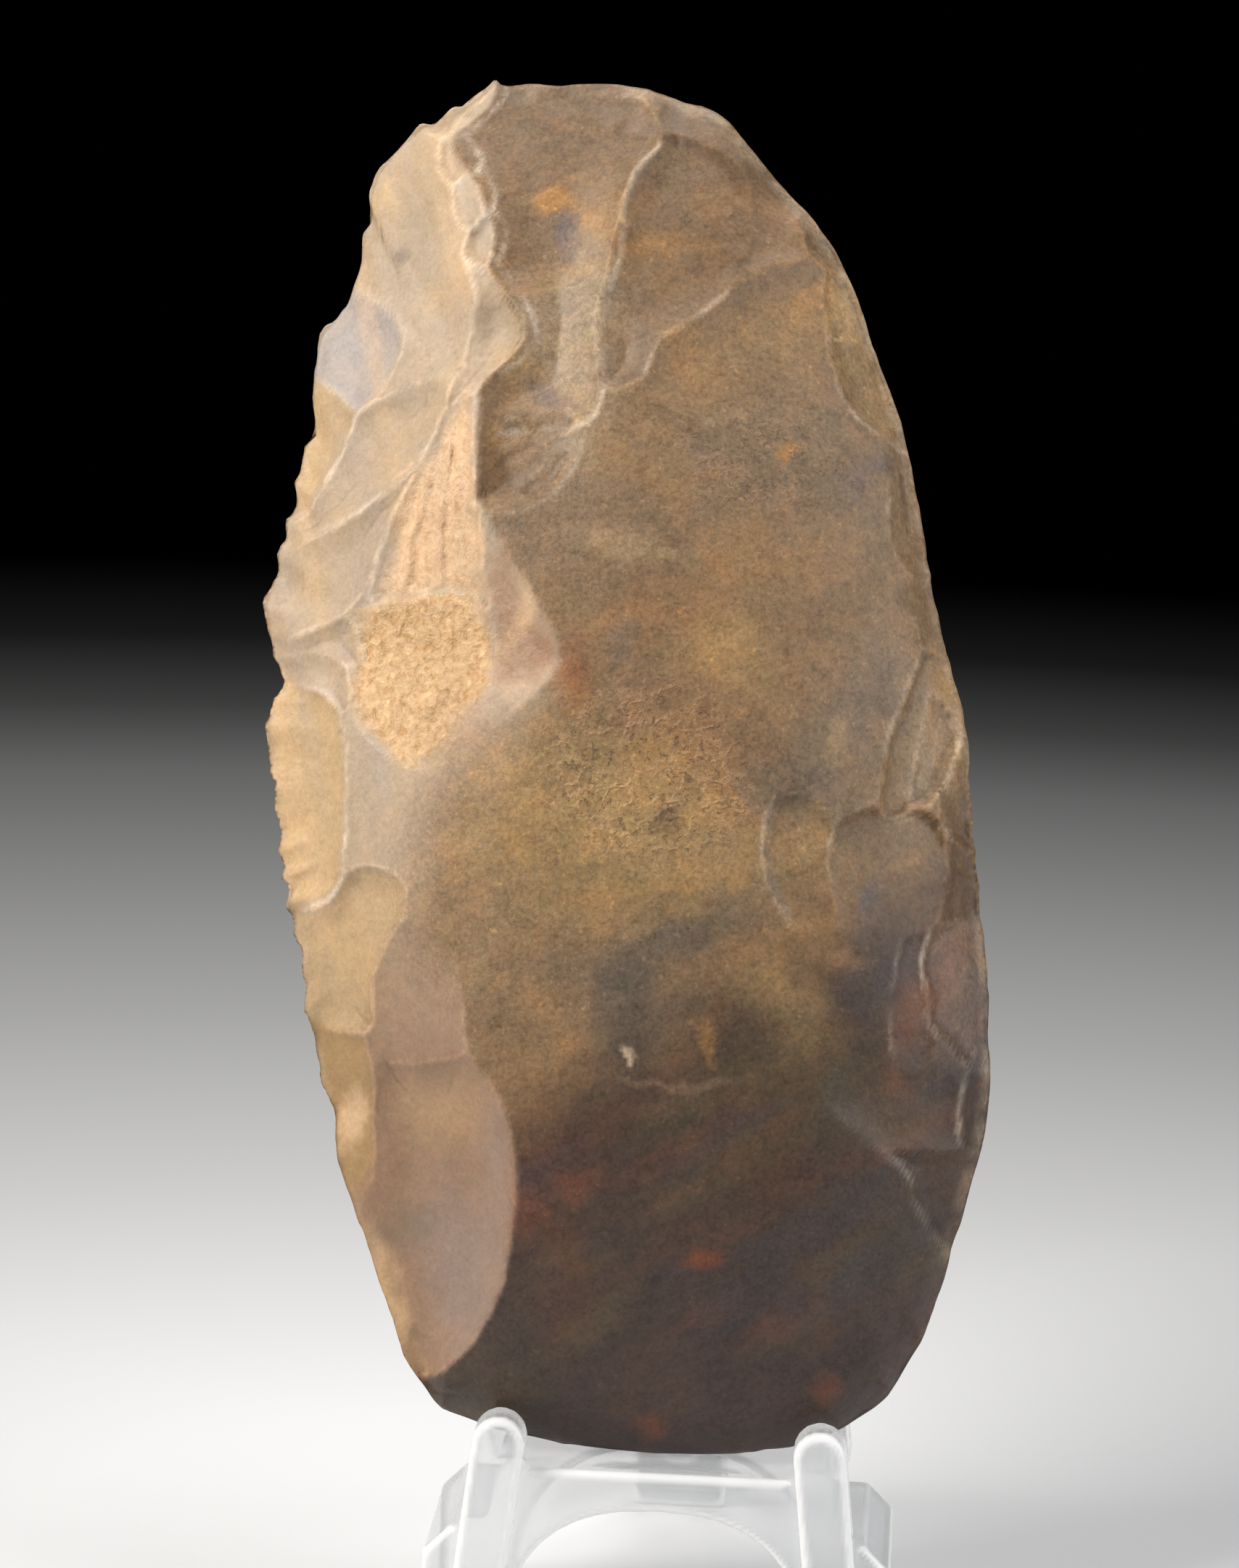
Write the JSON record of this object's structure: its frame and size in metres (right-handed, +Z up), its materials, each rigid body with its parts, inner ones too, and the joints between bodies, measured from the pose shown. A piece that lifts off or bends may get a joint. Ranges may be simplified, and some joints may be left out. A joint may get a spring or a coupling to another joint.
{
  "type": "stone hand axe on a display easel",
  "caption": "Knapped flint hand axe leaning on a small clear plastic easel: round prongs and an arched bridge hold its lower edge, and a rear leg props the back rest.",
  "frame": {"origin": "on the surface the easel stands on, under the middle of the whole model's box", "axes": "+Z up, the axe's broad face and the easel's prongs towards -Y, +X to the viewer's right"},
  "size_m": [0.0742, 0.0636, 0.1524],
  "materials": {
    "flint": "satin patina, tan, cream and dark brown",
    "clear_plastic": "clear, glossy, moulded"
  },
  "bodies": {
    "root": {"axe": "flint", "easel_front": "clear_plastic", "easel_rear_leg": "clear_plastic"}
  },
  "joints": []
}
